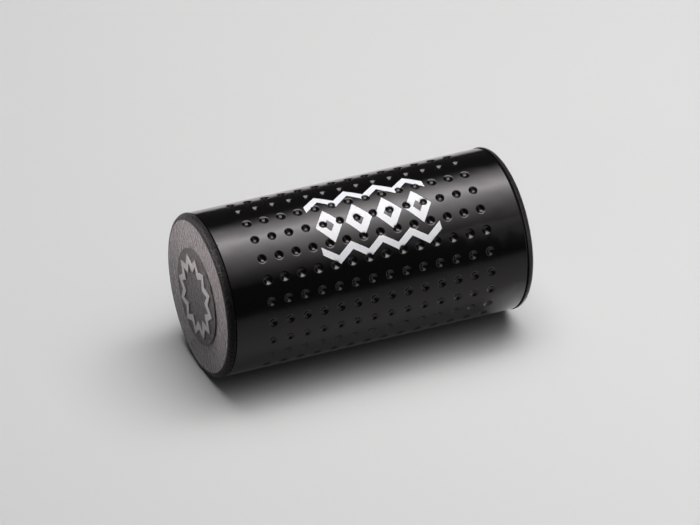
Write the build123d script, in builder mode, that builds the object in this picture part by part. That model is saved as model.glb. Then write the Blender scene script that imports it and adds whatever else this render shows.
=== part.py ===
"""Ganza shaker: a dented metal tube, two moulded end caps and a loose charge of steel shot.

The tube lies along X on a surface at Z = 0, and the origin is on that surface under its middle.
Sizes are in millimetres and angles in degrees.
An angle round the tube starts at straight up and grows towards -Y, the side that faces the viewer.
"""

import os
from math import ceil, cos, floor, radians, sin, sqrt

from build123d import *

# Tube
tube_diameter = 60.0
tube_wall = 0.8
tube_length = 113.2
tube_edge_round = 0.25

# Dents, punched inwards on a straight grid
dent_rows = 24
dent_first_row = -4.4
dent_pitch = 6.53
dent_width = 3.7
dent_depth = 1.2
dent_tip_width = 0.9
dent_land = 0.1
dent_margin = 2.8

# End caps
flange_overhang = 0.25
flange_thickness = 2.9
flange_edge_round = 1.9
shadow_gap = 0.5
collar_seat = 0.4
plug_depth = 9.0
plug_wall = 2.0
plug_lead_in = 0.8
plug_clearance = 0.1
web_thickness = 2.2

# Raised disc on each cap, with a ring of zigzag on it
disc_diameter = 36.0
disc_height = 0.6
disc_edge_round = 0.3
zigzag_points = 12
zigzag_margin = 2.2
zigzag_swing = 3.4
zigzag_width = 3.4
zigzag_height = 0.4

# Steel shot: rows that lie in the lanes between the dents, and heaped rows on top of them.
# A fill is the part of a lane that a row takes up, and a shift is how far it lies off the middle,
# from -1 at the left end cap to 1 at the right one.
shot_diameter = 5.0
shot_clearance = 0.3
shot_gap = 0.4
row_fills = (0.3, 0.58, 0.75, 0.75, 0.7, 0.65)
row_shifts = (-0.2, 0.15, -0.1, 0.15, -0.25, 0.2)
heap_fills = (0.35, 0.46, 0.4)

# Derived sizes
tube_radius = tube_diameter / 2
tube_end = tube_length / 2
bore_radius = tube_radius - tube_wall
flange_radius = tube_radius + flange_overhang
flange_back = tube_end + shadow_gap
flange_face = tube_end + flange_thickness
flange_round = min(flange_edge_round, 0.9 * (flange_thickness - shadow_gap))
collar_radius = bore_radius + collar_seat
plug_radius = bore_radius - plug_clearance
plug_end = tube_end - plug_depth
cup_radius = plug_radius - plug_wall
cup_floor = flange_face - web_thickness
disc_radius = disc_diameter / 2
disc_face = flange_face + disc_height
zigzag_radius = disc_radius - zigzag_margin
axis_height = flange_radius
row_step = 360 / dent_rows
shot_radius = shot_diameter / 2
shot_pitch = shot_diameter + shot_gap
lane_length = 2 * (plug_end - shot_clearance)

# The back of a dent is its cone moved inwards by one wall thickness
dent_slope = (dent_width - dent_tip_width) / 2 / dent_depth
dent_slant = sqrt(1 + dent_slope**2)
dent_back_depth = dent_depth + tube_wall
dent_back_tip = dent_tip_width / 2 + tube_wall * (dent_slant - dent_slope)
dent_back_radius = dent_back_tip + dent_depth * dent_slope

# Each row of dents lies on a shallow flat, inside and outside, that is one land wider than the dents
outer_flat = sqrt(tube_radius**2 - (dent_width / 2 + dent_land) ** 2)
inner_flat = outer_flat - tube_wall

# As many columns of dents as fit between the plugs
dent_columns = floor(2 * (plug_end - dent_margin - dent_back_radius) / dent_pitch) + 1
dented_end = dent_columns * dent_pitch / 2

tube_axis = Axis((0, 0, axis_height), (1, 0, 0))


def across_tube(along):
    """Plane square to the tube's axis at a place along it."""
    return Plane(origin=(along, 0, axis_height), x_dir=(0, 1, 0), z_dir=(1, 0, 0))


def outward(angle):
    """Direction out of the tube's axis at an angle round it."""
    return Vector(0, -sin(radians(angle)), cos(radians(angle)))


def on_tube(along, angle, radius):
    """Point at a place along the tube, an angle round it and a distance from its axis."""
    return Vector(along, 0, axis_height) + outward(angle) * radius


def dent_mouth(row):
    """Plane on the tube's surface at one dent of the middle ring, facing outwards."""
    angle = dent_first_row + row * row_step
    return Plane(origin=on_tube(0, angle, outer_flat), x_dir=(1, 0, 0), z_dir=outward(angle))


def dent_cone(tip_radius, depth, top, mode):
    """A blunt cone at each active location, from its tip below the surface to its top."""
    height = depth + top
    with Locations((0, 0, -depth)):
        Cone(
            tip_radius,
            tip_radius + height * dent_slope,
            height,
            align=(Align.CENTER, Align.CENTER, Align.MIN),
            mode=mode,
        )


def flattened_circle(radius, flat):
    """Circle with a flat under each row of dents, at a distance from its middle."""
    with BuildSketch(mode=Mode.PRIVATE) as outline:
        Circle(radius)
        RegularPolygon(
            flat, dent_rows, major_radius=False, rotation=dent_first_row + row_step / 2, mode=Mode.INTERSECT
        )
    return outline.sketch


# One ring of dents: bumps are raised on the inside first, and the dents are then pressed into them
with BuildPart() as dent_ring:
    with BuildSketch(across_tube(-dent_pitch / 2)):
        add(flattened_circle(tube_radius, outer_flat))
        add(flattened_circle(bore_radius, inner_flat), mode=Mode.SUBTRACT)
    extrude(amount=dent_pitch)
    with Locations([dent_mouth(row) for row in range(dent_rows)]):
        dent_cone(dent_back_tip, dent_back_depth, -tube_wall / 2, Mode.ADD)
        dent_cone(dent_tip_width / 2, dent_depth, tube_wall, Mode.SUBTRACT)

# The plain stretch at the right end of the tube, with its outer edge eased
with BuildPart() as plain_end:
    with BuildSketch(across_tube(dented_end)):
        Circle(tube_radius)
        Circle(bore_radius, mode=Mode.SUBTRACT)
    extrude(amount=tube_end - dented_end)
    end_rim = plain_end.edges().group_by(Axis.X)[-1].sort_by(SortBy.RADIUS)[-1]
    fillet(end_rim, radius=tube_edge_round)

# The tube: rings of dents side by side between two plain ends
with BuildPart() as dimpled_tube:
    with Locations([((column + 0.5) * dent_pitch - dented_end, 0, 0) for column in range(dent_columns)]):
        add(dent_ring.part)
    add([plain_end.part, plain_end.part.mirror(Plane.YZ)])
dimpled_tube.part.label = "dimpled_tube"


def zigzag_corners(outer_radius):
    """Corners of a closed zigzag, by turns at its outer radius and one swing inside it."""
    corners = []
    for corner in range(2 * zigzag_points):
        radius = outer_radius - zigzag_swing * (corner % 2)
        angle = radians(180 / zigzag_points * corner)
        corners.append((radius * cos(angle), radius * sin(angle)))
    return corners


def end_cap(name, side):
    """One end cap, at the +X end for side 1 and at the -X end for side -1.

    Half of its section is turned about the tube's axis: the hollow plug, the collar that seats on the
    tube's end, the flange beyond the shadow gap, and the raised disc on its face.
    """
    section = [
        (plug_end, cup_radius),
        (plug_end, plug_radius - plug_lead_in),
        (plug_end + plug_lead_in, plug_radius),
        (tube_end, plug_radius),
        (tube_end, collar_radius),
        (flange_back, collar_radius),
        (flange_back, flange_radius),
        (flange_face, flange_radius),
        (flange_face, disc_radius),
        (disc_face, disc_radius),
        (disc_face, 0),
        (cup_floor, 0),
        (cup_floor, cup_radius),
    ]
    half_section = Plane(origin=(0, 0, axis_height), x_dir=(side, 0, 0), z_dir=(0, -side, 0))
    disc_plane = Plane(origin=(side * disc_face, 0, axis_height), x_dir=(0, 0, 1), z_dir=(side, 0, 0))
    with BuildPart() as cap:
        with BuildSketch(half_section):
            with BuildLine():
                Polyline(section, close=True)
            make_face()
        revolve(axis=tube_axis)
        rings = cap.edges().filter_by(GeomType.CIRCLE).sort_by(Axis.X, reverse=side > 0)
        disc_rim = rings[0]
        flange_rim = rings.group_by(SortBy.RADIUS)[-1].sort_by(Axis.X, reverse=side > 0)[0]
        fillet(disc_rim, radius=disc_edge_round)
        fillet(flange_rim, radius=flange_round)
        with BuildSketch(disc_plane):
            Polygon(*zigzag_corners(zigzag_radius), align=None)
            Polygon(*zigzag_corners(zigzag_radius - zigzag_width), align=None, mode=Mode.SUBTRACT)
        extrude(amount=zigzag_height)
    cap.part.label = name
    return cap.part


def lane_radius():
    """Distance from the axis to a shot in a lane, clear of the wall and of the dents on both sides."""
    reach = shot_radius + shot_clearance
    half_step = radians(row_step / 2)
    room_beside_dents = (tube_radius - dent_back_depth) * dent_slope - dent_back_tip - reach * dent_slant
    beside_dents = room_beside_dents / (cos(half_step) * dent_slope - sin(half_step))
    return min(bore_radius - reach, beside_dents)


def row_angle(row):
    """Angle of a row: the rows take the lanes nearest to the bottom, with room for a shot between rows."""
    lane_spacing = 2 * lane_radius() * sin(radians(row_step / 2))
    stride = row_step * ceil((shot_diameter + shot_clearance) / lane_spacing)
    first_lane = dent_first_row + row_step / 2
    lowest = round((180 - first_lane) / row_step)
    return first_lane + lowest * row_step + (row - len(row_fills) // 2) * stride


def shot_row(name, fill, row, radius):
    """A straight row of loose shot along the tube."""
    count = floor(fill * lane_length / shot_pitch)
    below = floor(row_fills[row] * lane_length / shot_pitch)
    middle = row_shifts[row] * (lane_length - below * shot_pitch) / 2
    places = [middle + (shot - (count - 1) / 2) * shot_pitch for shot in range(count)]
    with BuildPart() as shots:
        with Locations([on_tube(place, row_angle(row), radius) for place in places]):
            Sphere(shot_radius)
    shots.part.label = name
    return shots.part


pieces = [dimpled_tube.part, end_cap("left_end_cap", -1), end_cap("right_end_cap", 1)]

for row in range(len(row_fills)):
    pieces.append(shot_row(f"shot_row_{row + 1}", row_fills[row], row, lane_radius()))

heap_radius = lane_radius() - shot_diameter - shot_clearance
first_row_below = (len(row_fills) - len(heap_fills) + 1) // 2
for heap in range(len(heap_fills)):
    pieces.append(shot_row(f"shot_heap_{heap + 1}", heap_fills[heap], first_row_below + heap, heap_radius))

os.makedirs("parts", exist_ok=True)
for piece in pieces:
    export_step(piece, f"parts/{piece.label}.step")
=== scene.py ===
import math

import bpy
import numpy as np
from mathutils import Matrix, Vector


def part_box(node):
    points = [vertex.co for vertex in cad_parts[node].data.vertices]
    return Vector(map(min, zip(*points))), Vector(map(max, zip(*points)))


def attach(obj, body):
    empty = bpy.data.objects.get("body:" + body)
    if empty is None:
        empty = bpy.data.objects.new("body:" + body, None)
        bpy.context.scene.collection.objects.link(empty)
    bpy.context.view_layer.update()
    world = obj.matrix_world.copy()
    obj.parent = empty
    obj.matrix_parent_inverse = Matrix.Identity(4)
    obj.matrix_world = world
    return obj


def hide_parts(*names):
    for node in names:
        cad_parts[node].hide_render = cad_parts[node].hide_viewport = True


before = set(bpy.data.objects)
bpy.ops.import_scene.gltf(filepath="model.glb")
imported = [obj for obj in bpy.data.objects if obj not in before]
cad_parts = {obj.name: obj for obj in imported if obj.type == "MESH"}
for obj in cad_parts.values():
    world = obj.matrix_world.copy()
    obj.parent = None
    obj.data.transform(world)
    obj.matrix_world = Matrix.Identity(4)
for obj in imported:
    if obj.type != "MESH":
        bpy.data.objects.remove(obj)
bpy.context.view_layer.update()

# A ganza shaker lying on a pale floor: a dented tube in satin black paint with a printed pattern,
# two moulded rubber end caps with a raised zigzag ring, and the steel shot inside.
# The tube lies along X. An angle round it starts at straight up and grows towards -Y, the side in view.

MM = 0.001

# Sizes read from the frame
tube_low, tube_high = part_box("dimpled_tube")
cap_low, cap_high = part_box("right_end_cap")
tube_end = tube_high[0]
tube_radius = (tube_high[1] - tube_low[1]) / 2
flange_radius = (cap_high[1] - cap_low[1]) / 2
axis_height = (cap_high[2] + cap_low[2]) / 2
plug_end = cap_low[0]
zigzag_top = cap_high[0]

# Tube wall and dents
tube_wall = 0.8 * MM
tube_edge_round = 0.25 * MM
dent_rows = 24
dent_columns = 14
dent_first_row = math.radians(-4.4)
dent_pitch = 6.53 * MM
dent_back_widening = 1.25
outer_rings = [1, 2, 3, 4]
inner_rings = [2, 4]
dent_spokes = 16
dented_end = dent_columns * dent_pitch / 2
row_step = 2 * math.pi / dent_rows
row_width = tube_radius * row_step

# Half a dent's section: distances from its middle and the slope at each, which changes evenly between
dent_rings = np.array([0.0, 0.5, 1.0, 1.4, 2.0]) * MM
dent_slopes = np.array([0.0, 0.4, 0.65, 0.7, 0.0])

# End caps
zigzag_height = 0.4 * MM
disc_height = 0.6 * MM
disc_radius = 18.0 * MM
shadow_gap = 0.5 * MM
flange_round = 2.2 * MM
collar_inset = 0.4 * MM
plug_inset = 0.9 * MM
plug_lead_in = 0.8 * MM
plug_wall = 2.0 * MM
web_thickness = 2.2 * MM
disc_face = zigzag_top - zigzag_height
flange_face = disc_face - disc_height
flange_back = tube_end + shadow_gap
collar_radius = tube_radius - collar_inset
plug_radius = tube_radius - plug_inset
cup_radius = plug_radius - plug_wall
cup_floor = flange_face - web_thickness
small_round = 0.15 * MM
fine_round = 0.05 * MM
round_steps = 5
cap_steps = 144
weld_distance = 0.001 * MM

# Zigzag ring on each cap
zigzag_points = 12
zigzag_margin = 2.2 * MM
zigzag_outer = disc_radius - zigzag_margin
zigzag_swing = 3.4 * MM
zigzag_width = 3.4 * MM
zigzag_bevel = 0.16 * MM

# Moulding nub on the left cap's flange
nub_angle = math.radians(23.4)
nub_length = 0.95 * MM
nub_width = 0.5 * MM
nub_height = 0.2 * MM
nub_rings = 6
nub_spokes = 12

# Printed pattern: a row of diamonds between two zigzag bands, in white ink
print_middle = 3.0 * MM
print_middle_angle = math.radians(27.5)
print_half_length = 23.0 * MM
diamond_pitch = 11.5 * MM
diamond_half_length = 5.2 * MM
diamond_half_height = 6.9 * MM
diamond_heart = 0.36
band_offset = 11.2 * MM
band_swing = 2.1 * MM
band_stroke = 3.0 * MM

# The ink stops short of each dent, on a circle that wanders a little
ink_hole = 1.38 * MM
ink_edge = 0.05 * MM
ink_wander = 0.16 * MM
wanders_per_metre = 900.0
ink_white = (0.77, 0.82, 0.84, 1)
ink_grain_size = 0.8 * MM
ink_grain_contrast = 0.1
ink_roughness = 0.42

# Black paint, with smudges in its gloss
paint_black = (0.0016, 0.0015, 0.0016, 1)
paint_grain_size = 0.35 * MM
paint_grain_contrast = 0.5
least_roughness = 0.11
smudge_roughness = 0.06
smudges_per_metre = 60.0

# Relief of the paint: faint waves in the metal, orange peel and the ink's thickness.
# The rises of peel and ink are parts of the relief height.
relief_height = 0.02 * MM
relief_strength = 0.35
wave_size = 9.0 * MM
wave_height = 0.18 * MM
peel_rise = 0.25
peels_per_metre = 700.0
ink_rise = 0.6

# Grain: fine noise, and a share of wider noise at a part of its scale
wide_scale = 0.4
wide_share = 0.5

# Grain of the rubber: speckles of its grey, and pits
speckle_size = 0.55 * MM
pit_size = 0.8 * MM
patches_per_metre = 150.0
patch_roughness = 0.1
sheen_roughness = 0.3

# Steel of the shot
steel_dark = (0.12, 0.12, 0.12, 1)
steel_bright = (0.58, 0.57, 0.55, 1)
scuff_size = 0.5 * MM
scuff_contrast = 0.35
scuff_relief = 0.15
scuff_height = 0.02 * MM
steel_roughness = 0.28

# Overhead soft box
box_height = 1.03
box_left, box_right = -0.3, 0.9
box_front, box_back = -1.5, 1.05
bright_line = 0.135
fade_behind = 0.30
fade_ahead = 0.38
back_edge = 0.8
back_edge_softness = 0.25
box_brightness = 7.5
warm_white = (1.0, 0.94, 0.952)

# Card of light beyond the right end
card_place = (0.24, -0.234, 0.163)
card_aim = (0.05, -0.02, axis_height)
card_size = (0.2, 0.22)
card_brightness = 0.4

# Spot on the left cap, with its soft edge across the cap's face
spot_place = (-0.9, 0.4, 0.55)
spot_aim = (-flange_face, 0.0105, axis_height + 0.0645)
spot_angle = math.radians(8.2)
spot_radius = 0.015
spot_power = 118.0

# Card in front on the right that reaches only the right cap, and is mirrored in its flange's edge
rim_place = (0.26, -0.53, 0.25)
rim_aim = (flange_face, 0.0, axis_height)
rim_size = (0.3, 0.45)
rim_brightness = 11.0

# Room and floor, as the camera sees them
room_pale = (0.62, 0.62, 0.63, 1)
floor_tones = ((0.59, 0.627, 0.619, 1), (0.63, 0.67, 0.661, 1))
tones_per_metre = 3.0
floor_roughness = 0.9
floor_reach = 3.0

# Room and floor, as the object's gloss sees them: a dark room, and a floor that is bright behind,
# dark in front as painted shade, and glowing under the right end as painted light from no lamp
room_dark = (0.045, 0.0437, 0.045, 1)
floor_white = (0.88, 0.88, 0.88, 1)
fade_direction = (-0.4, -0.92, 0.0)
# Painted shade: the floor fades from bright to dark between these places, towards the front
floor_bright = -0.267
floor_dark = 0.273
# Painted light: the floor glows faintly all over, and strongly in a pool under the right end
floor_glow = 0.04
end_glow = 0.62
end_glow_place = (tube_end + 11.4 * MM, -26.0 * MM, 0.0)
end_glow_radius = 15.0 * MM
end_glow_softness = 7.0 * MM

# Camera, at the photograph's angle
camera_azimuth = math.radians(-23.44)
camera_elevation = math.radians(32.0)
camera_distance = 1.8585
camera_aim = (-0.19 * MM, 0.0, axis_height - 0.4 * MM)
camera_sensor = 36.0
camera_lens = 264.6
camera_near = 0.05
camera_far = 50.0

BLACK = (0.0, 0.0, 0.0, 1)
NO_TRIANGLES = np.zeros((0, 3), int)


def place_round_tube(along, angle, radius):
    """Points at places along the tube, angles round it and distances from its axis."""
    along, angle, radius = np.broadcast_arrays(along, angle, radius)
    return np.stack([along, -radius * np.sin(angle), axis_height + radius * np.cos(angle)], -1)


def direction_round_tube(along, angle, outward, sideways=0.0):
    """Unit directions with parts along the tube, out of it and round it, towards growing angles."""
    along, angle, outward, sideways = np.broadcast_arrays(along, angle, outward, sideways)
    across = -outward * np.sin(angle) - sideways * np.cos(angle)
    upward = outward * np.cos(angle) - sideways * np.sin(angle)
    direction = np.stack([along, across, upward], -1)
    return direction / np.linalg.norm(direction, axis=-1, keepdims=True)


def sheet_quads(rows, columns, wrap):
    """Quads of a grid of points, row by row. With wrap, the last column joins the first."""
    row = np.arange(rows - 1)[:, None]
    column = np.arange(columns if wrap else columns - 1)[None, :]
    after = (column + 1) % columns
    corners = [row * columns + column, row * columns + after]
    corners += [(row + 1) * columns + after, (row + 1) * columns + column]
    return np.stack(np.broadcast_arrays(*corners), -1).reshape(-1, 4)


def weld(points, normals, quads, triangles):
    """Joins points that share a place. A quad with one side shrunk to a pole becomes a triangle."""
    keys = np.round(points / weld_distance).astype(np.int64)
    _, first, index = np.unique(keys, axis=0, return_index=True, return_inverse=True)
    index = index.reshape(-1)
    quads = index[quads]
    doubled = quads == np.roll(quads, -1, axis=1)
    at_pole = doubled.any(axis=1)
    pole_triangles = quads[at_pole][~doubled[at_pole]].reshape(-1, 3)
    triangles = np.concatenate([index[triangles], pole_triangles])
    return points[first], normals[first], quads[~at_pole], triangles


def make_mesh_piece(name, points, normals, quads, triangles, material, slot):
    """Mesh object of quads and triangles. Normals are those of the formula, or None for flat faces."""
    corners = np.concatenate([quads.reshape(-1), triangles.reshape(-1)]).astype(np.int32)
    sizes = np.concatenate([np.full(len(quads), 4), np.full(len(triangles), 3)]).astype(np.int32)
    mesh = bpy.data.meshes.new(name)
    mesh.vertices.add(len(points))
    mesh.vertices.foreach_set("co", points.astype(np.float32).reshape(-1))
    mesh.loops.add(len(corners))
    mesh.loops.foreach_set("vertex_index", corners)
    mesh.polygons.add(len(sizes))
    mesh.polygons.foreach_set("loop_start", (np.cumsum(sizes) - sizes).astype(np.int32))
    mesh.polygons.foreach_set("use_smooth", np.full(len(sizes), normals is not None))
    mesh.update(calc_edges=True)
    if normals is not None:
        mesh.normals_split_custom_set_from_vertices(normals.tolist())
    mesh.materials.append(material)
    piece = bpy.data.objects.new(name, mesh)
    bpy.context.scene.collection.objects.link(piece)
    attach(piece, "shell")
    return piece


def dent_depths():
    """Depth at each distance of a dent's section: the slope summed inwards from the lip."""
    falls = (dent_slopes[1:] + dent_slopes[:-1]) / 2 * np.diff(dent_rings)
    return np.append(falls[::-1].cumsum()[::-1], 0.0)


def dented_sheet(radius, rings, widening):
    """Dented part of a tube's surface, as one cell of spokes and rings for each dent.

    A cell's rings are circles about the dent's middle, and its last ring is the circle pushed out to the
    edges of the cell. The radius falls by the dent's depth, and normals lean by its slope.
    """
    turn = np.pi / 4 + 2 * np.pi * np.arange(dent_spokes) / dent_spokes
    circle = np.stack([np.cos(turn), np.sin(turn)], -1)
    edge = circle / np.abs(circle).max(-1, keepdims=True) * [dent_pitch / 2, row_width / 2]
    circles = np.multiply.outer(dent_rings[rings] * widening, circle)
    cell = np.concatenate([np.zeros((1, 2)), circles.reshape(-1, 2), edge])
    depths = dent_depths()
    depth = np.concatenate([depths[:1], np.repeat(depths[rings], dent_spokes), np.zeros(dent_spokes)])
    lean = np.multiply.outer(dent_slopes[rings] / widening, circle)
    lean = np.concatenate([np.zeros((1, 2)), lean.reshape(-1, 2), np.zeros((dent_spokes, 2))])

    column = ((np.arange(dent_columns) + 0.5) * dent_pitch - dented_end)[:, None, None]
    row = (dent_first_row + row_step * np.arange(dent_rows))[None, :, None]
    along = column + cell[:, 0]
    angle = row + cell[:, 1] / row_width * row_step
    points = place_round_tube(along, angle, radius - depth)
    normals = direction_round_tube(-lean[:, 0], angle, np.ones_like(along), -lean[:, 1])

    cells = np.arange(dent_columns * dent_rows)[:, None, None] * len(cell)
    spoke = np.arange(dent_spokes)
    tip = np.stack([np.zeros(dent_spokes, int), 1 + (spoke + 1) % dent_spokes, 1 + spoke], -1)
    quads = sheet_quads(len(rings) + 1, dent_spokes, wrap=True) + 1
    return (
        points.reshape(-1, 3),
        np.broadcast_to(normals, points.shape).reshape(-1, 3),
        (cells + quads).reshape(-1, 4),
        (cells + tip).reshape(-1, 3),
    )


def rounded_profile(corners, rounds):
    """Open profile in two dimensions with every inner corner rounded, and its normals on the left hand.

    At a corner, the normal turns evenly from one side's to the other's, and the point follows on an arc.
    """
    corners = np.asarray(corners, float)
    side = np.diff(corners, axis=0)
    side /= np.linalg.norm(side, axis=1, keepdims=True)
    left = np.stack([-side[:, 1], side[:, 0]], -1)
    before, after = left[:-1], left[1:]
    bend = np.arctan2(before[:, 0] * after[:, 1] - before[:, 1] * after[:, 0], (before * after).sum(1))
    turned = np.multiply.outer(bend, np.linspace(0, 1, round_steps))
    normal = before[:, None] * np.cos(turned)[..., None]
    normal = normal + np.stack([-before[:, 1], before[:, 0]], -1)[:, None] * np.sin(turned)[..., None]
    bulge = -np.sign(bend) * np.asarray(rounds, float)
    middle = corners[1:-1] - (before + after) / (1 + (before * after).sum(1))[:, None] * bulge[:, None]
    arc = middle[:, None] + normal * bulge[:, None, None]
    points = np.concatenate([corners[:1], arc.reshape(-1, 2), corners[-1:]])
    normals = np.concatenate([left[:1], normal.reshape(-1, 2), left[-1:]])
    return points, normals


def turned_sheet(profile, profile_normals, angles):
    """Surface of revolution: a profile of places along the tube's axis and distances from it, turned."""
    points = place_round_tube(profile[:, 0, None], angles[None], profile[:, 1, None])
    normals = direction_round_tube(profile_normals[:, 0, None], angles[None], profile_normals[:, 1, None])
    quads = sheet_quads(len(profile), len(angles), wrap=True)
    return points.reshape(-1, 3), normals.reshape(-1, 3), quads


def dimpled_shell(material):
    """The tube: dented sheets outside and inside, joined round each end by a turned lip."""
    sheets = [dented_sheet(tube_radius, outer_rings, 1.0)]
    bore_radius = tube_radius - tube_wall
    points, normals, quads, triangles = dented_sheet(bore_radius, inner_rings, dent_back_widening)
    sheets.append((points, -normals, quads[:, ::-1], triangles[:, ::-1]))

    # The lip's points match those on the edge of each dent's cell
    spread = np.tan(np.pi / 8) / 2
    stations = np.array([-0.5, -spread, 0.0, spread])
    angles = (dent_first_row + row_step * (np.arange(dent_rows)[:, None] + stations)).reshape(-1)
    corners = [
        (dented_end, tube_radius),
        (tube_end, tube_radius),
        (tube_end, bore_radius),
        (dented_end, bore_radius),
    ]
    profile, profile_normals = rounded_profile(corners, [tube_edge_round, fine_round])
    for side in (1, -1):
        points, normals, quads = turned_sheet(profile * [side, 1], profile_normals * [side, 1], angles)
        sheets.append((points, normals, quads[:, ::side], NO_TRIANGLES))

    counts = np.cumsum([0] + [len(sheet[0]) for sheet in sheets])
    points = np.concatenate([sheet[0] for sheet in sheets])
    normals = np.concatenate([sheet[1] for sheet in sheets])
    quads = np.concatenate([sheet[2] + start for sheet, start in zip(sheets, counts)])
    triangles = np.concatenate([sheet[3] + start for sheet, start in zip(sheets, counts)])
    points, normals, quads, triangles = weld(points, normals, quads, triangles)
    piece = make_mesh_piece("dimpled_shell", points, normals, quads, triangles, material, "tube_paint")
    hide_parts("dimpled_tube")


def end_cap(name, side, materials):
    """One end cap, turned from its section, with materials for its plug, edge, face and disc. The plug's
    and the edge's darker rubber is painted shade, and the face's lighter rubber is painted light.
    """
    corners = [
        (cup_floor, 0.0),
        (cup_floor, cup_radius),
        (plug_end, cup_radius),
        (plug_end, plug_radius - plug_lead_in),
        (plug_end + plug_lead_in, plug_radius),
        (tube_end, plug_radius),
        (tube_end, collar_radius),
        (flange_back, collar_radius),
        (flange_back, flange_radius),
        (flange_face, flange_radius),
        (flange_face, disc_radius),
        (disc_face, disc_radius),
        (disc_face, 0.0),
    ]
    rounds = [fine_round] * 7 + [small_round, flange_round, small_round, 2 * small_round]
    profile, profile_normals = rounded_profile(corners, rounds)
    angles = 2 * np.pi * np.arange(cap_steps) / cap_steps
    points, normals, quads = turned_sheet(profile * [side, 1], profile_normals * [side, 1], angles)
    surface = weld(points, normals, quads[:, ::side], NO_TRIANGLES)
    piece = make_mesh_piece(name, *surface, materials[0], "cap_rubber")
    for material in materials[1:]:
        piece.data.materials.append(material)
    middles = np.zeros(3 * len(piece.data.polygons), np.float32)
    piece.data.polygons.foreach_get("center", middles)
    along, across, upward = middles.reshape(-1, 3).T
    from_axis = np.hypot(across, upward - axis_height)
    # Painted shade and light: the plug, collar and shadow gap take the darkest copy of the rubber, the
    # flange's round and wall a dark copy, and the face a lighter copy
    on_face = (side * along > flange_face - fine_round) & (from_axis < flange_radius - flange_round)
    on_disc = on_face & (from_axis < disc_radius)
    on_edge = side * along > flange_back + fine_round / 10
    piece.data.polygons.foreach_set("material_index", on_edge.astype(np.int32) + on_face + on_disc)
    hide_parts(name.replace("_moulding", "_end_cap"))


def zigzag_ring(name, side, material):
    """Raised zigzag on a cap's disc: a bevelled section carried round a closed path.

    The path's radius swings straight from corner to corner, out on even corners and in on odd ones.
    """
    corner = np.arange(2 * zigzag_points)
    angle = np.pi / zigzag_points * corner
    outer = zigzag_outer - zigzag_swing * (corner % 2)
    foot = disc_face - fine_round
    section = np.array(
        [
            (foot, 0.0),
            (zigzag_top - zigzag_bevel, 0.0),
            (zigzag_top, zigzag_bevel),
            (zigzag_top, zigzag_width - zigzag_bevel),
            (zigzag_top - zigzag_bevel, zigzag_width),
            (foot, zigzag_width),
            (foot, 0.0),
        ]
    )
    along, inward = section[:, 0, None], section[:, 1, None]
    points = place_round_tube(side * along, angle[None], outer[None] - inward).reshape(-1, 3)
    quads = sheet_quads(len(section), len(angle), wrap=True)[:, ::side]
    points, _, quads, triangles = weld(points, points, quads, NO_TRIANGLES)
    make_mesh_piece(name, points, None, quads, triangles, material, "cap_rubber")


def flash_nub(material):
    """A nub of moulding flash on the left flange's inner edge: a small half egg over the shadow gap."""
    height = np.linspace(0, np.pi / 2, nub_rings)[:, None]
    turn = np.linspace(0, 2 * np.pi, nub_spokes, endpoint=False)[None, :]
    along = -flange_back + nub_length * np.cos(height) * np.cos(turn)
    angle = nub_angle + nub_width * np.cos(height) * np.sin(turn) / tube_radius
    radius = tube_radius + fine_round / 2 + nub_height * np.sin(height)
    points = place_round_tube(along, angle, radius).reshape(-1, 3)
    quads = sheet_quads(nub_rings, nub_spokes, wrap=True)[:, ::-1]
    points, _, quads, triangles = weld(points, points, quads, NO_TRIANGLES)
    make_mesh_piece("flash_nub", points, None, quads, triangles, material, "cap_rubber")


def add_node(tree, kind, inputs=None, **settings):
    """Adds a node, sets its settings, and links or sets its inputs."""
    made = tree.nodes.new(kind)
    for name, value in settings.items():
        setattr(made, name, value)
    for name, value in (inputs or {}).items():
        if isinstance(value, bpy.types.NodeSocket):
            tree.links.new(value, made.inputs[name])
        else:
            made.inputs[name].default_value = value
    return made


def math_of(tree, operation, *values):
    """Output of a Math node on sockets or numbers."""
    return add_node(tree, "ShaderNodeMath", dict(enumerate(values)), operation=operation).outputs[0]


def blend_colours(tree, share, first, second):
    """Output of a colour mix: first at share 0 and second at share 1."""
    inputs = {"Factor": share, 6: first, 7: second}
    return add_node(tree, "ShaderNodeMix", inputs, data_type="RGBA", clamp_factor=False).outputs[2]


def blend_values(tree, share, first, second):
    """Output of a value mix: first at share 0 and second at share 1."""
    inputs = {"Factor": share, "A": first, "B": second}
    return add_node(tree, "ShaderNodeMix", inputs, data_type="FLOAT").outputs[0]


def below(tree, value, limit, softness):
    """Mask that is 1 where a value is under a limit and 0 above it, with a soft step between."""
    inputs = {
        "Value": value,
        "From Min": limit - softness,
        "From Max": limit + softness,
        "To Min": 1.0,
        "To Max": 0.0,
    }
    return add_node(tree, "ShaderNodeMapRange", inputs, clamp=True).outputs[0]


def noise_of(tree, place, scale, detail=3.0, roughness=0.5):
    """Noise value at a place, in features per metre."""
    inputs = {"Vector": place, "Scale": scale, "Detail": detail, "Roughness": roughness}
    return add_node(tree, "ShaderNodeTexNoise", inputs).outputs[0]


def new_group(name, inputs, outputs):
    """Empty shader node group with named sockets, and its input and output nodes."""
    group = bpy.data.node_groups.new(name, "ShaderNodeTree")
    for socket, kind in inputs:
        group.interface.new_socket(socket, in_out="INPUT", socket_type=kind)
    for socket, kind in outputs:
        group.interface.new_socket(socket, in_out="OUTPUT", socket_type=kind)
    return group, group.nodes.new("NodeGroupInput"), group.nodes.new("NodeGroupOutput")


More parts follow.
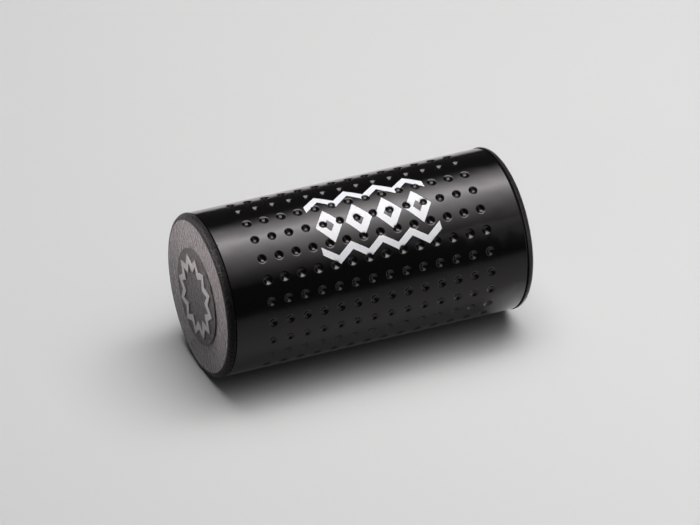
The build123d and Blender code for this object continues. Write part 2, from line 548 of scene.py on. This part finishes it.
def grain_group():
    """Random grain: fine noise and some wider noise, as a height and as a brightness about 1."""
    inputs = [("Place", "NodeSocketVector"), ("Size", "NodeSocketFloat"), ("Contrast", "NodeSocketFloat")]
    outputs = [("Height", "NodeSocketFloat"), ("Brightness", "NodeSocketFloat")]
    group, given, result = new_group("fine grain", inputs, outputs)
    scale = math_of(group, "DIVIDE", 1.0, given.outputs["Size"])
    fine = noise_of(group, given.outputs["Place"], scale, 2.0, 0.6)
    wide = noise_of(group, given.outputs["Place"], math_of(group, "MULTIPLY", scale, wide_scale), 2.0)
    height = math_of(group, "ADD", fine, math_of(group, "MULTIPLY", wide, wide_share))
    centred = math_of(group, "SUBTRACT", height, (1 + wide_share) / 2)
    group.links.new(height, result.inputs["Height"])
    brightness = math_of(group, "MULTIPLY_ADD", centred, given.outputs["Contrast"], 1.0)
    group.links.new(math_of(group, "MAXIMUM", brightness, 0.0), result.inputs["Brightness"])
    return group


def new_material(name):
    """Empty node material with a Principled shader, its tree and its Object coordinates."""
    material = bpy.data.materials.new(name)
    material.use_nodes = True
    tree = material.node_tree
    shader = tree.nodes["Principled BSDF"]
    place = add_node(tree, "ShaderNodeTexCoord").outputs["Object"]
    return material, tree, shader, place


def grain_of(tree, group, place, size, contrast):
    """The grain group placed in a material."""
    inputs = {"Place": place, "Size": size, "Contrast": contrast}
    return add_node(tree, "ShaderNodeGroup", inputs, node_tree=group)


def bump_of(tree, height, strength, distance):
    """Normal of a Bump node."""
    inputs = {"Height": height, "Strength": strength, "Distance": distance}
    return add_node(tree, "ShaderNodeBump", inputs).outputs["Normal"]


def unrolled_place(tree, place):
    """Places along the tube and round it, in metres on its surface."""
    parts = add_node(tree, "ShaderNodeSeparateXYZ", {0: place})
    upward = math_of(tree, "SUBTRACT", parts.outputs["Z"], axis_height)
    toward = math_of(tree, "MULTIPLY", parts.outputs["Y"], -1.0)
    angle = math_of(tree, "ARCTAN2", toward, upward)
    return parts.outputs["X"], math_of(tree, "MULTIPLY", angle, tube_radius)


def dent_distance(tree, along, round_tube):
    """Distance from the middle of the nearest dent, and far from all of them on the plain ends."""
    from_edge = math_of(tree, "PINGPONG", along, dent_pitch / 2)
    side_distance = math_of(tree, "SUBTRACT", dent_pitch / 2, from_edge)
    from_row = math_of(tree, "SUBTRACT", round_tube, dent_first_row * tube_radius)
    row_distance = math_of(tree, "PINGPONG", from_row, row_width / 2)
    square = math_of(tree, "MULTIPLY", row_distance, row_distance)
    square = math_of(tree, "MULTIPLY_ADD", side_distance, side_distance, square)
    distance = math_of(tree, "SQRT", square)
    on_end = math_of(tree, "GREATER_THAN", math_of(tree, "ABSOLUTE", along), dented_end)
    return math_of(tree, "MULTIPLY_ADD", on_end, dent_pitch, distance)


def print_pattern(tree, along, round_tube, softness):
    """Mask of the printed pattern: a row of diamonds with open hearts between two zigzag bands."""
    across = math_of(tree, "SUBTRACT", round_tube, print_middle_angle * tube_radius)
    ahead = math_of(tree, "SUBTRACT", along, print_middle)
    in_length = below(tree, math_of(tree, "ABSOLUTE", ahead), print_half_length, softness)

    from_gap = math_of(tree, "PINGPONG", ahead, diamond_pitch / 2)
    from_middle = math_of(tree, "SUBTRACT", diamond_pitch / 2, from_gap)
    lengthwise = math_of(tree, "DIVIDE", from_middle, diamond_half_length)
    crosswise = math_of(tree, "DIVIDE", math_of(tree, "ABSOLUTE", across), diamond_half_height)
    reach = math_of(tree, "ADD", lengthwise, crosswise)
    edge = softness / diamond_half_length
    heart = below(tree, reach, diamond_heart, edge)
    diamond = math_of(tree, "SUBTRACT", below(tree, reach, 1.0, edge), heart)

    climb = 4 * band_swing / diamond_pitch
    swing = math_of(tree, "MULTIPLY_ADD", from_gap, climb, band_offset - band_swing)
    from_band = math_of(tree, "SUBTRACT", math_of(tree, "ABSOLUTE", across), swing)
    band = below(tree, math_of(tree, "ABSOLUTE", from_band), band_stroke / 2, softness)
    return math_of(tree, "MULTIPLY", math_of(tree, "MAXIMUM", diamond, band), in_length)


def satin_black_paint(grain):
    """Satin black paint with faint waves and orange peel, and white ink that stops short of the dents."""
    material, tree, shader, place = new_material("satin black paint and white ink")
    along, round_tube = unrolled_place(tree, place)
    distance = dent_distance(tree, along, round_tube)
    wander = noise_of(tree, place, wanders_per_metre)
    wander = math_of(tree, "MULTIPLY_ADD", wander, ink_wander, -ink_wander / 2)
    near_dent = below(tree, math_of(tree, "ADD", distance, wander), ink_hole, 2 * ink_edge)
    pattern = print_pattern(tree, along, round_tube, ink_edge)
    ink = math_of(tree, "MULTIPLY", pattern, math_of(tree, "SUBTRACT", 1.0, near_dent))

    paint_grain = grain_of(tree, grain, place, paint_grain_size, paint_grain_contrast)
    black = blend_colours(tree, paint_grain.outputs["Brightness"], BLACK, paint_black)
    ink_grain = grain_of(tree, grain, place, ink_grain_size, ink_grain_contrast)
    white = blend_colours(tree, ink_grain.outputs["Brightness"], BLACK, ink_white)
    tree.links.new(blend_colours(tree, ink, black, white), shader.inputs["Base Color"])

    smudge = noise_of(tree, place, smudges_per_metre, 4.0)
    paint_gloss = math_of(tree, "MULTIPLY_ADD", smudge, smudge_roughness, least_roughness)
    tree.links.new(blend_values(tree, ink, paint_gloss, ink_roughness), shader.inputs["Roughness"])

    peel = noise_of(tree, place, peels_per_metre, 2.0)
    height = math_of(tree, "MULTIPLY_ADD", ink, ink_rise, math_of(tree, "MULTIPLY", peel, peel_rise))
    waves = noise_of(tree, place, 1 / wave_size, 1.0)
    wave_rise = wave_height / relief_height / relief_strength
    height = math_of(tree, "MULTIPLY_ADD", waves, wave_rise, height)
    tree.links.new(bump_of(tree, height, relief_strength, relief_height), shader.inputs["Normal"])
    return material


def moulded_rubber(name, grain, colour, contrast, relief, roughness, specular, sheen=0.0):
    """Black rubber with a sparked grain: fine speckles of its grey over wider pits, with patchy gloss."""
    material, tree, shader, place = new_material(name)
    shader.inputs["Specular IOR Level"].default_value = specular
    shader.inputs["Sheen Weight"].default_value = sheen
    shader.inputs["Sheen Roughness"].default_value = sheen_roughness
    speckle = grain_of(tree, grain, place, speckle_size, contrast)
    speckled = blend_colours(tree, speckle.outputs["Brightness"], BLACK, (*colour, 1))
    tree.links.new(speckled, shader.inputs["Base Color"])
    patches = noise_of(tree, place, patches_per_metre)
    gloss = math_of(tree, "MULTIPLY_ADD", patches, patch_roughness, roughness - patch_roughness / 2)
    tree.links.new(gloss, shader.inputs["Roughness"])
    pits = grain_of(tree, grain, place, pit_size, 1.0)
    tree.links.new(bump_of(tree, pits.outputs["Height"], 1.0, relief), shader.inputs["Normal"])
    return material


def shot_steel(grain):
    """Plain steel shot with faint scuffs and uneven polish."""
    material, tree, shader, place = new_material("polished steel shot")
    shader.inputs["Metallic"].default_value = 1.0
    scuffs = grain_of(tree, grain, place, scuff_size, scuff_contrast)
    base = blend_colours(tree, scuffs.outputs["Brightness"], steel_dark, steel_bright)
    tree.links.new(base, shader.inputs["Base Color"])
    gloss = math_of(tree, "MULTIPLY", scuffs.outputs["Brightness"], steel_roughness)
    tree.links.new(gloss, shader.inputs["Roughness"])
    relief = bump_of(tree, scuffs.outputs["Height"], scuff_relief, scuff_height)
    tree.links.new(relief, shader.inputs["Normal"])
    return material


def stage_sheet(name, points, material):
    """One flat quad of the studio, from four points row by row."""
    mesh = bpy.data.meshes.new(name)
    mesh.from_pydata(points.tolist(), [], sheet_quads(2, 2, wrap=False).tolist())
    mesh.materials.append(material)
    sheet = bpy.data.objects.new(name, mesh)
    bpy.context.scene.collection.objects.link(sheet)
    return sheet


def pale_floor():
    """Plain pale floor under the object, even to the camera.

    The object's gloss sees it fade away in front, as painted shade, and glow under the right end, as
    painted light from no lamp.
    """
    material, tree, shader, place = new_material("pale floor")
    tone = noise_of(tree, place, tones_per_metre, 2.0)
    even = blend_colours(tree, tone, *floor_tones)
    # Painted shade: to the gloss, the floor fades dark towards the front
    ahead = add_node(tree, "ShaderNodeVectorMath", {0: place, 1: fade_direction}, operation="DOT_PRODUCT")
    fade_middle = 0.5 * (floor_bright + floor_dark)
    fade_softness = 0.5 * (floor_dark - floor_bright)
    behind = below(tree, ahead.outputs["Value"], fade_middle, fade_softness)
    fading = blend_colours(tree, behind, BLACK, floor_white)
    # Painted light: to the gloss, the floor glows faintly all over and strongly under the right end
    from_end = add_node(tree, "ShaderNodeVectorMath", {0: place, 1: end_glow_place}, operation="DISTANCE")
    under_end = below(tree, from_end.outputs["Value"], end_glow_radius, end_glow_softness)
    glow = math_of(tree, "MULTIPLY_ADD", under_end, end_glow, floor_glow)
    seen = add_node(tree, "ShaderNodeLightPath").outputs["Is Camera Ray"]
    tree.links.new(blend_colours(tree, seen, fading, even), shader.inputs["Base Color"])
    tree.links.new(blend_values(tree, seen, glow, 0.0), shader.inputs["Emission Strength"])
    shader.inputs["Roughness"].default_value = floor_roughness
    along, across = np.meshgrid([-floor_reach, floor_reach], [-floor_reach, floor_reach])
    points = np.stack([along, across, np.zeros_like(along)], -1).reshape(-1, 3)
    stage_sheet("floor", points, material)


def hang_lamp(lamp, place, aim):
    """Lamp in warm white at a place, facing a point, and out of the camera's sight."""
    lamp.color = warm_white
    holder = bpy.data.objects.new(lamp.name, lamp)
    holder.location = place
    holder.rotation_euler = (Vector(aim) - Vector(place)).to_track_quat("-Z", "Y").to_euler()
    holder.visible_camera = False
    bpy.context.scene.collection.objects.link(holder)
    return holder


def lamp_card(name, brightness, size, place, aim):
    """Flat card of even light at a place, facing a point."""
    lamp = bpy.data.lights.new(name, "AREA")
    lamp.shape = "RECTANGLE"
    lamp.size, lamp.size_y = size
    lamp.energy = brightness * math.pi * size[0] * size[1]
    return hang_lamp(lamp, place, aim)


def light_only(holder, names):
    """Lets a lamp reach only the named pieces."""
    lit = bpy.data.collections.new(f"lit by {holder.name}")
    for name in names:
        lit.objects.link(bpy.data.objects[name])
    holder.light_linking.receiver_collection = lit


def cap_spot():
    """Spot from the upper left that fades down the left cap's face and reaches only that cap."""
    lamp = bpy.data.lights.new("cap_spot", "SPOT")
    lamp.spot_size = spot_angle
    lamp.spot_blend = 1.0
    lamp.shadow_soft_size = spot_radius
    lamp.energy = spot_power
    light_only(hang_lamp(lamp, spot_place, spot_aim), ["left_moulding", "left_zigzag", "flash_nub"])


def overhead_box():
    """Soft box over the object: a sheet of light that fades away from a bright line along X."""
    material = bpy.data.materials.new("soft box cloth")
    material.use_nodes = True
    tree = material.node_tree
    tree.nodes.clear()
    place = add_node(tree, "ShaderNodeTexCoord").outputs["Object"]
    across = add_node(tree, "ShaderNodeSeparateXYZ", {0: place}).outputs["Y"]
    from_line = math_of(tree, "SUBTRACT", across, bright_line)
    behind = math_of(tree, "DIVIDE", math_of(tree, "MAXIMUM", from_line, 0.0), fade_behind)
    ahead = math_of(tree, "DIVIDE", math_of(tree, "MINIMUM", from_line, 0.0), -fade_ahead)
    fading = math_of(tree, "MULTIPLY", math_of(tree, "ADD", behind, ahead), -1.0)
    strength = math_of(tree, "MULTIPLY", math_of(tree, "EXPONENT", fading), box_brightness)
    strength = math_of(tree, "MULTIPLY", strength, below(tree, across, back_edge, back_edge_softness))
    glow = add_node(tree, "ShaderNodeEmission", {"Color": (*warm_white, 1), "Strength": strength})
    add_node(tree, "ShaderNodeOutputMaterial", {"Surface": glow.outputs[0]})

    along, across = np.meshgrid([box_left, box_right], [box_front, box_back])
    points = np.stack([along, across, np.full_like(along, box_height)], -1).reshape(-1, 3)
    stage_sheet("overhead_box", points, material).visible_camera = False


def studio():
    """Dark room that looks pale to the camera, with its lights."""
    world = bpy.data.worlds.new("studio")
    world.use_nodes = True
    tree = world.node_tree
    background = tree.nodes["Background"]
    seen = add_node(tree, "ShaderNodeLightPath").outputs["Is Camera Ray"]
    shown = blend_colours(tree, seen, room_dark, room_pale)
    tree.links.new(shown, background.inputs["Color"])
    bpy.context.scene.world = world
    overhead_box()
    lamp_card("right_card", card_brightness, card_size, card_place, card_aim)
    rim_card = lamp_card("rim_card", rim_brightness, rim_size, rim_place, rim_aim)
    light_only(rim_card, ["right_moulding", "right_zigzag"])
    cap_spot()


def photo_camera():
    """Camera at the photograph's angle, far away with a long lens."""
    level = math.cos(camera_elevation)
    back_x = math.sin(camera_azimuth) * level
    back_y = -math.cos(camera_azimuth) * level
    back = Vector((back_x, back_y, math.sin(camera_elevation)))
    lens = bpy.data.cameras.new("photo camera")
    lens.sensor_width = camera_sensor
    lens.lens = camera_lens
    lens.clip_start = camera_near
    lens.clip_end = camera_far
    camera = bpy.data.objects.new("photo camera", lens)
    camera.location = Vector(camera_aim) + back * camera_distance
    camera.rotation_euler = (-back).to_track_quat("-Z", "Y").to_euler()
    bpy.context.scene.collection.objects.link(camera)
    bpy.context.scene.camera = camera


grain = grain_group()
# Painted shade: the darkest copy of the rubber, on the plug and also on the collar and shadow gap to
# darken them
plug_and_gap_shade_rubber = moulded_rubber(
    "black plug rubber", grain, (0.002, 0.0019, 0.002),
    contrast=4.0, relief=0.1 * MM, roughness=0.6, specular=0.1,
)
# Painted shade: a darker copy of the rubber for the flange's round and wall
edge_shade_rubber = moulded_rubber(
    "dark edge rubber", grain, (0.004, 0.0038, 0.0039),
    contrast=4.5, relief=0.45 * MM, roughness=0.42, specular=0.14, sheen=0.15,
)
# Painted light: a lighter copy of the rubber for the face; its grain is its own
face_lit_rubber = moulded_rubber(
    "grained face rubber", grain, (0.098, 0.0868, 0.0895),
    contrast=5.2, relief=0.6 * MM, roughness=0.45, specular=0.3, sheen=1.0,
)
disc_rubber = moulded_rubber(
    "fine disc rubber", grain, (0.036, 0.0344, 0.035),
    contrast=5.2, relief=0.5 * MM, roughness=0.45, specular=0.3, sheen=0.2,
)
zigzag_rubber = moulded_rubber(
    "smooth zigzag rubber", grain, (0.19, 0.182, 0.1848),
    contrast=0.8, relief=0.05 * MM, roughness=0.3, specular=0.5, sheen=0.5,
)

dimpled_shell(satin_black_paint(grain))
for name, side in (("left", -1), ("right", 1)):
    end_cap(f"{name}_moulding", side, [plug_and_gap_shade_rubber, edge_shade_rubber, face_lit_rubber, disc_rubber])
    zigzag_ring(f"{name}_zigzag", side, zigzag_rubber)
flash_nub(edge_shade_rubber)

steel = shot_steel(grain)
for name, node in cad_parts.items():
    if name.startswith("shot_"):
        for slot in node.material_slots:
            slot.material = steel

pale_floor()
studio()
photo_camera()
bpy.context.scene.view_settings.view_transform = "Standard"
